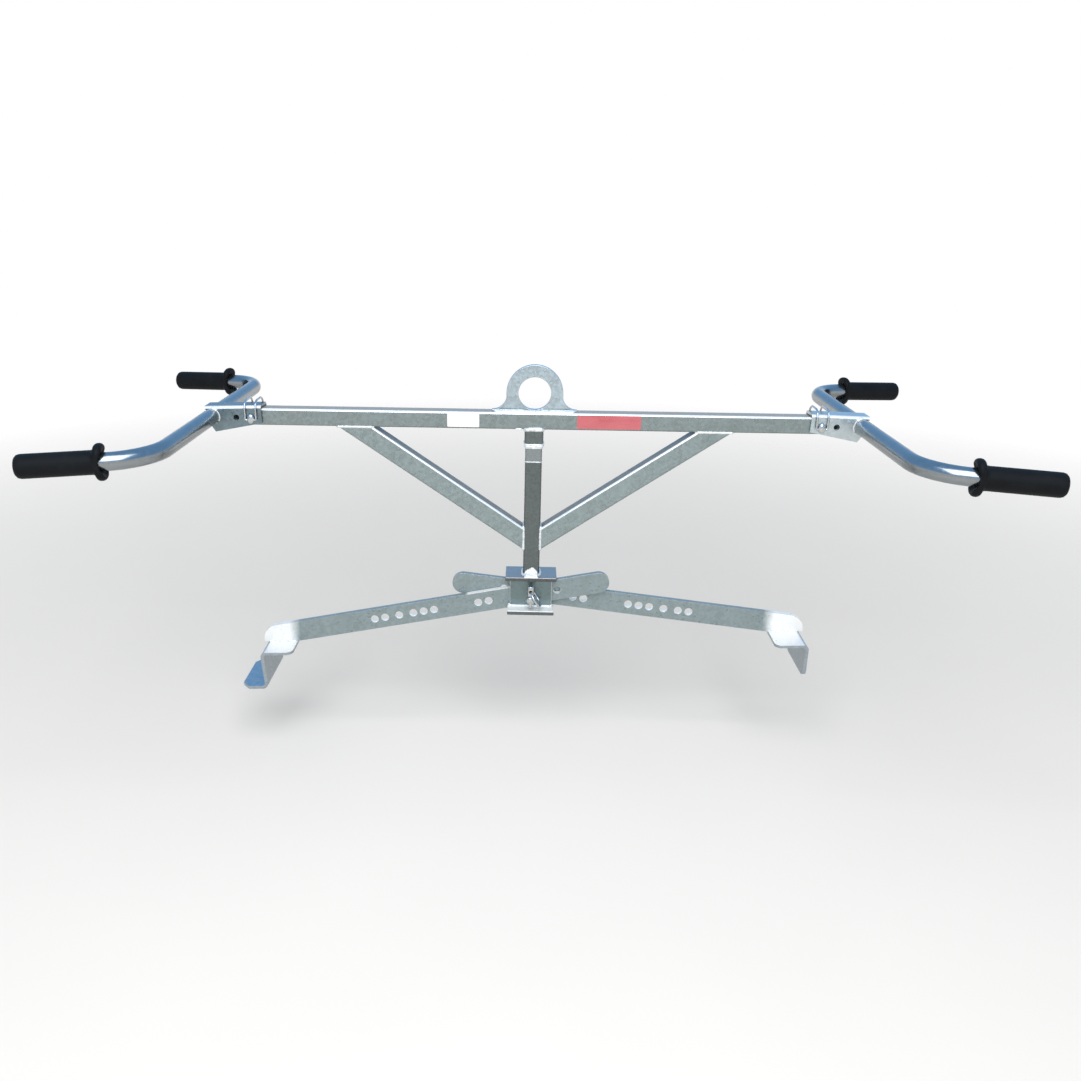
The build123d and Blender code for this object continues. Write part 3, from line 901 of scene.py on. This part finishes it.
def makeFloor():
    bm = bmesh.new()
    bmesh.ops.create_circle(bm, cap_ends=True, segments=stage["around"], radius=stage["size"])
    bmesh.ops.translate(bm, vec=(0, 0, stage["floorZ"]), verts=bm.verts)
    mesh = bpy.data.meshes.new("floor")
    bm.to_mesh(mesh)
    bm.free()
    obj = bpy.data.objects.new("floor", mesh)
    bpy.context.scene.collection.objects.link(obj)
    mat, tree, shader, coord = newSkin("paleFloor")
    speck = noise(tree, coord, stage["speckScale"], *stage["speckNoise"])
    shaded = toned(stage["floor"], stage["shade"])
    colour = tinted(tree, speck, list(zip(stage["speckStops"], (shaded, stage["floor"]))))
    tree.links.new(colour, shader.inputs["Base Color"])
    shader.inputs["Roughness"].default_value = stage["rough"]
    # the floor thins out into the white surroundings
    thin = ranged(tree, vectorSize(tree, "LENGTH", coord), 1.0, 0.0, stage["fadeFrom"], stage["fadeTo"])
    tree.links.new(thin, shader.inputs["Alpha"])
    mesh.materials.append(mat)


lamp = dict(
    place=(-0.1, -2.1, 2.05), aim=(0, 0, -0.1), size=(2.6, 3.0), power=98, colour=(1.0, 0.99, 0.975),
)


def makeLamp():
    data = bpy.data.lights.new("key", "AREA")
    data.shape = "RECTANGLE"
    data.size, data.size_y = lamp["size"]
    data.energy = lamp["power"]
    data.color = lamp["colour"]
    obj = bpy.data.objects.new("key", data)
    obj.location = lamp["place"]
    toAim = Vector(lamp["aim"]) - Vector(lamp["place"])
    obj.rotation_euler = toAim.to_track_quat("-Z", "Y").to_euler()
    obj.visible_camera = False
    bpy.context.scene.collection.objects.link(obj)


air = dict(
    level=0.50, white=(1.0, 1.0, 1.0),
    sky=[(0.02, (1.0, 1.0, 1.0)), (0.12, (0.52, 0.74, 1.0)),
         (0.30, (0.29, 0.59, 1.0)), (1.0, (0.27, 0.57, 1.0))],
)


def makeWorld():
    # white behind everything, a pale sky where the metal mirrors it, and an even soft light
    world = bpy.data.worlds.new("studio")
    bpy.context.scene.world = world
    world.use_nodes = True
    tree = world.node_tree
    tree.nodes.clear()
    out = tree.nodes.new("ShaderNodeOutputWorld")
    coord = tree.nodes.new("ShaderNodeTexCoord")
    split = tree.nodes.new("ShaderNodeSeparateXYZ")
    tree.links.new(coord.outputs["Generated"], split.inputs[0])
    path = tree.nodes.new("ShaderNodeLightPath")
    sky = tinted(tree, split.outputs["Z"], air["sky"])
    seen = tree.nodes.new("ShaderNodeBackground")
    backdrop = brightened(tree, sky, path.outputs["Is Camera Ray"], air["white"])
    tree.links.new(backdrop, seen.inputs["Color"])
    soft = tree.nodes.new("ShaderNodeBackground")
    soft.inputs["Strength"].default_value = air["level"]
    shown = path.outputs["Is Camera Ray"]
    for ray in ("Is Glossy Ray", "Is Transmission Ray"):
        shown = mathStep(tree, "MAXIMUM", shown, path.outputs[ray])
    mix = tree.nodes.new("ShaderNodeMixShader")
    tree.links.new(shown, mix.inputs["Fac"])
    tree.links.new(soft.outputs[0], mix.inputs[1])
    tree.links.new(seen.outputs[0], mix.inputs[2])
    tree.links.new(mix.outputs[0], out.inputs["Surface"])


shot = dict(
    focal=935.9, frameWide=1081.0, axisX=505.7, sensor=36.0,
    place=(-8.3, -1616.4, 326.1), yaw=-0.0245, pitch=0.3556, roll=0.0110,
)


def makeCamera():
    yaw, pitch, roll = shot["yaw"], shot["pitch"], shot["roll"]
    ahead = Vector((math.sin(yaw) * math.cos(pitch), math.cos(yaw) * math.cos(pitch), -math.sin(pitch)))
    level = Vector((math.cos(yaw), -math.sin(yaw), 0))
    down = ahead.cross(level)
    across = level * math.cos(roll) - down * math.sin(roll)
    drop = level * math.sin(roll) + down * math.cos(roll)
    data = bpy.data.cameras.new("shot")
    data.sensor_width = shot["sensor"]
    data.sensor_fit = "HORIZONTAL"
    data.lens = shot["focal"] / shot["frameWide"] * shot["sensor"]
    data.shift_x = 0.5 - shot["axisX"] / shot["frameWide"]
    obj = bpy.data.objects.new("shot", data)
    turn = Matrix((across, -drop, -ahead)).transposed().to_4x4()
    obj.matrix_world = Matrix.Translation(Vector(shot["place"]) * mm) @ turn
    bpy.context.scene.collection.objects.link(obj)
    bpy.context.scene.camera = obj


makeFloor()
makeLamp()
makeWorld()
makeCamera()
bpy.context.scene.view_settings.view_transform = "Standard"
print("stage set")
